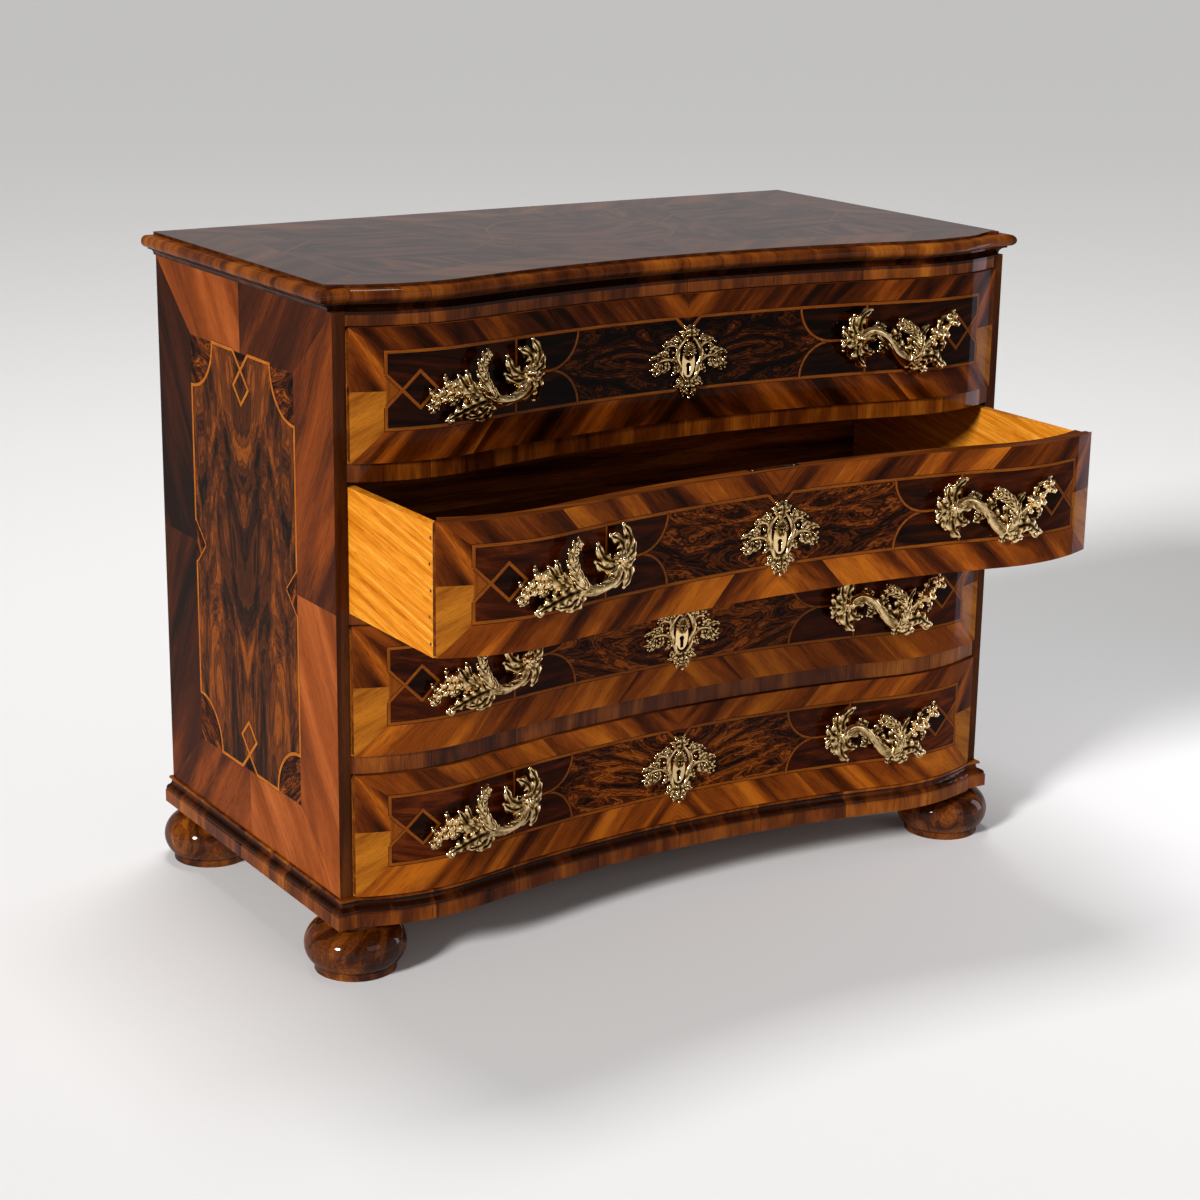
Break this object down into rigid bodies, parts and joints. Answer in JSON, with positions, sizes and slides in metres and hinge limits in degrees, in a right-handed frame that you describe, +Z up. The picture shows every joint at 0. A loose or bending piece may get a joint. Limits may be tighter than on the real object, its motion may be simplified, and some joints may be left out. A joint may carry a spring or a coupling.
{
  "type": "bombe chest",
  "caption": "Serpentine-front chest of long drawers in banded walnut veneer, with cast leaf handles, mask keyhole plates, a moulded top and plinth, and turned bun feet.",
  "frame": {"origin": "on the floor, below the middle of the box that holds the chest with its second drawer open", "axes": "+Z up, +Y towards the back, X across the front, with +X to the right of a person who faces the drawers"},
  "size_m": [1.2732, 0.921, 1.0203],
  "materials": {
    "walnut": "polished veneer, banded and inlaid",
    "pine": "aged, unpolished softwood",
    "brass": "worn cast metal with dark recesses",
    "steel": "dark hand-worked iron"
  },
  "bodies": {
    "case": {"back_boards": "pine", "bottom_board": "pine", "corner_post_left": "walnut", "corner_post_right": "walnut", "drawer_stops": "pine", "foot_back_left": "walnut", "foot_back_right": "walnut", "foot_front_left": "walnut", "foot_front_right": "walnut", "plinth": "walnut", "rail_1": "walnut", "rail_2": "walnut", "rail_3": "walnut", "rail_top": "walnut", "runners_left": "pine", "runners_right": "pine", "side_left": "walnut", "side_right": "walnut", "top_board": "walnut", "top_moulding": "walnut"},
    "drawer_1": {"drawer_1_front": "walnut", "drawer_1_side_left": "pine", "drawer_1_side_right": "pine", "drawer_1_back": "pine", "drawer_1_bottom": "pine", "drawer_1_lock_case": "steel", "drawer_1_handle_left": "brass", "drawer_1_handle_right": "brass", "drawer_1_escutcheon": "brass"},
    "lock_bolt_1": {"drawer_1_lock_bolt": "steel"},
    "drawer_2": {"drawer_2_front": "walnut", "drawer_2_side_left": "pine", "drawer_2_side_right": "pine", "drawer_2_back": "pine", "drawer_2_bottom": "pine", "drawer_2_lock_case": "steel", "drawer_2_handle_left": "brass", "drawer_2_handle_right": "brass", "drawer_2_escutcheon": "brass"},
    "lock_bolt_2": {"drawer_2_lock_bolt": "steel"},
    "drawer_3": {"drawer_3_front": "walnut", "drawer_3_side_left": "pine", "drawer_3_side_right": "pine", "drawer_3_back": "pine", "drawer_3_bottom": "pine", "drawer_3_lock_case": "steel", "drawer_3_handle_left": "brass", "drawer_3_handle_right": "brass", "drawer_3_escutcheon": "brass"},
    "lock_bolt_3": {"drawer_3_lock_bolt": "steel"},
    "drawer_4": {"drawer_4_front": "walnut", "drawer_4_side_left": "pine", "drawer_4_side_right": "pine", "drawer_4_back": "pine", "drawer_4_bottom": "pine", "drawer_4_lock_case": "steel", "drawer_4_handle_left": "brass", "drawer_4_handle_right": "brass", "drawer_4_escutcheon": "brass"},
    "lock_bolt_4": {"drawer_4_lock_bolt": "steel"}
  },
  "joints": [
    {"name": "drawer_1_slide", "type": "slide", "parent": "case", "child": "drawer_1", "axis": [0, -1, 0], "range_m": [0, 0.36]},
    {"name": "lock_bolt_1_slide", "type": "slide", "parent": "drawer_1", "child": "lock_bolt_1", "axis": [0, 0, 1], "range_m": [0, 0.009]},
    {"name": "drawer_2_slide", "type": "slide", "parent": "case", "child": "drawer_2", "axis": [0, -1, 0], "range_m": [-0.244, 0.116]},
    {"name": "lock_bolt_2_slide", "type": "slide", "parent": "drawer_2", "child": "lock_bolt_2", "axis": [0, 0, 1], "range_m": [0, 0.009]},
    {"name": "drawer_3_slide", "type": "slide", "parent": "case", "child": "drawer_3", "axis": [0, -1, 0], "range_m": [0, 0.36]},
    {"name": "lock_bolt_3_slide", "type": "slide", "parent": "drawer_3", "child": "lock_bolt_3", "axis": [0, 0, 1], "range_m": [0, 0.009]},
    {"name": "drawer_4_slide", "type": "slide", "parent": "case", "child": "drawer_4", "axis": [0, -1, 0], "range_m": [0, 0.36]},
    {"name": "lock_bolt_4_slide", "type": "slide", "parent": "drawer_4", "child": "lock_bolt_4", "axis": [0, 0, 1], "range_m": [0, 0.009]}
  ]
}
